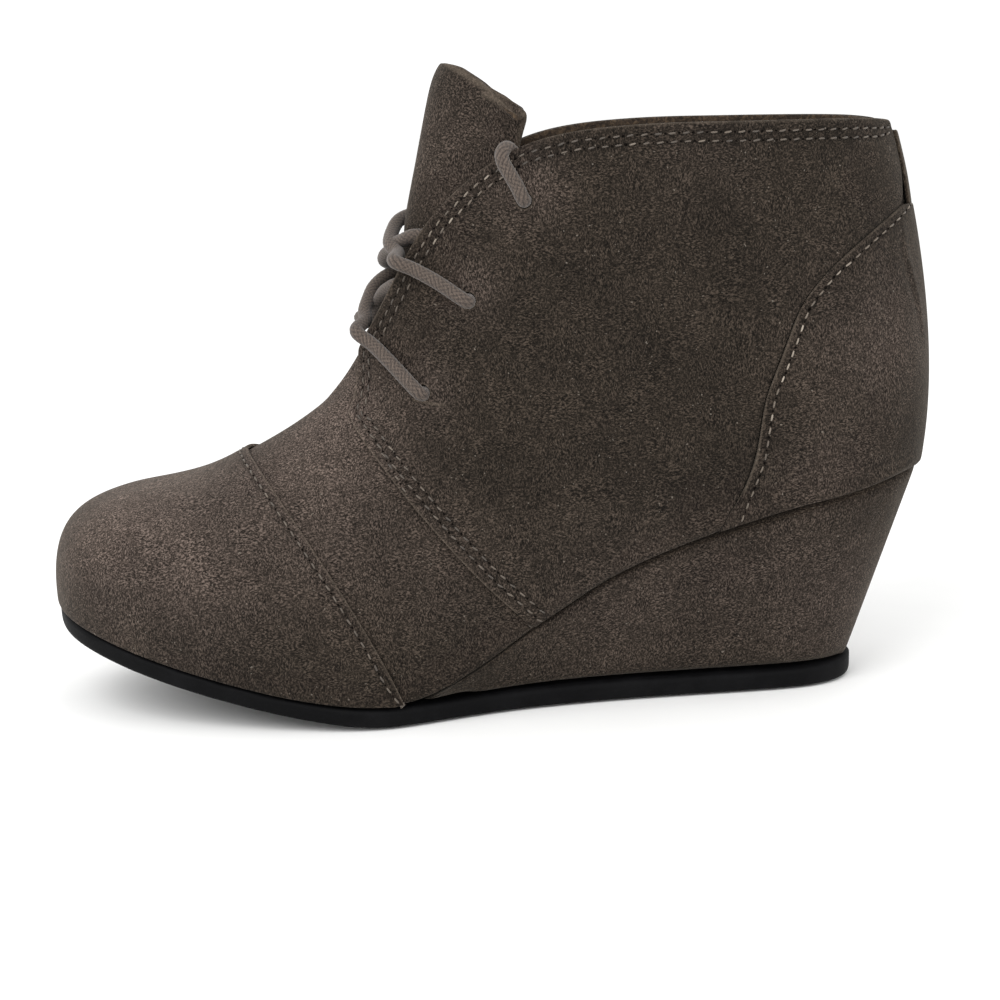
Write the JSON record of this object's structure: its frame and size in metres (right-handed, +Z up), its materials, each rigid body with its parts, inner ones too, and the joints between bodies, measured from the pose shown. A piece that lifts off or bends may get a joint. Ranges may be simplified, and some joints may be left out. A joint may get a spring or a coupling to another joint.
{
  "type": "wedge ankle boot",
  "caption": "Lace-up wedge ankle boot in dark taupe faux suede with toe cap, heel counter, standing tongue, covered wedge and thin black rubber outsole, left foot.",
  "frame": {"origin": "centre of the bottom of the bounding box, on the floor under the boot", "axes": "+Z up; the toe points to -X and the heel to +X; the outer (lateral) side faces -Y and the inner side +Y"},
  "size_m": [0.2564, 0.0884, 0.1808],
  "materials": {
    "suede_upper": "matte brushed faux suede, dark taupe",
    "rubber_outsole": "matte moulded black rubber",
    "lace_cord": "round woven cotton cord, taupe",
    "insole_board": "matte brown sock lining"
  },
  "bodies": {
    "root": {"outsole": "rubber_outsole", "wedge": "suede_upper", "insole": "insole_board", "upper": "suede_upper", "tongue": "suede_upper", "toe_cap": "suede_upper", "quarter_outer": "suede_upper", "quarter_inner": "suede_upper", "counter": "suede_upper", "back_strip": "suede_upper", "lace_lower_crossing": "lace_cord", "lace_upper_crossing": "lace_cord", "lace_end_outer": "lace_cord", "lace_end_inner": "lace_cord"}
  },
  "joints": []
}
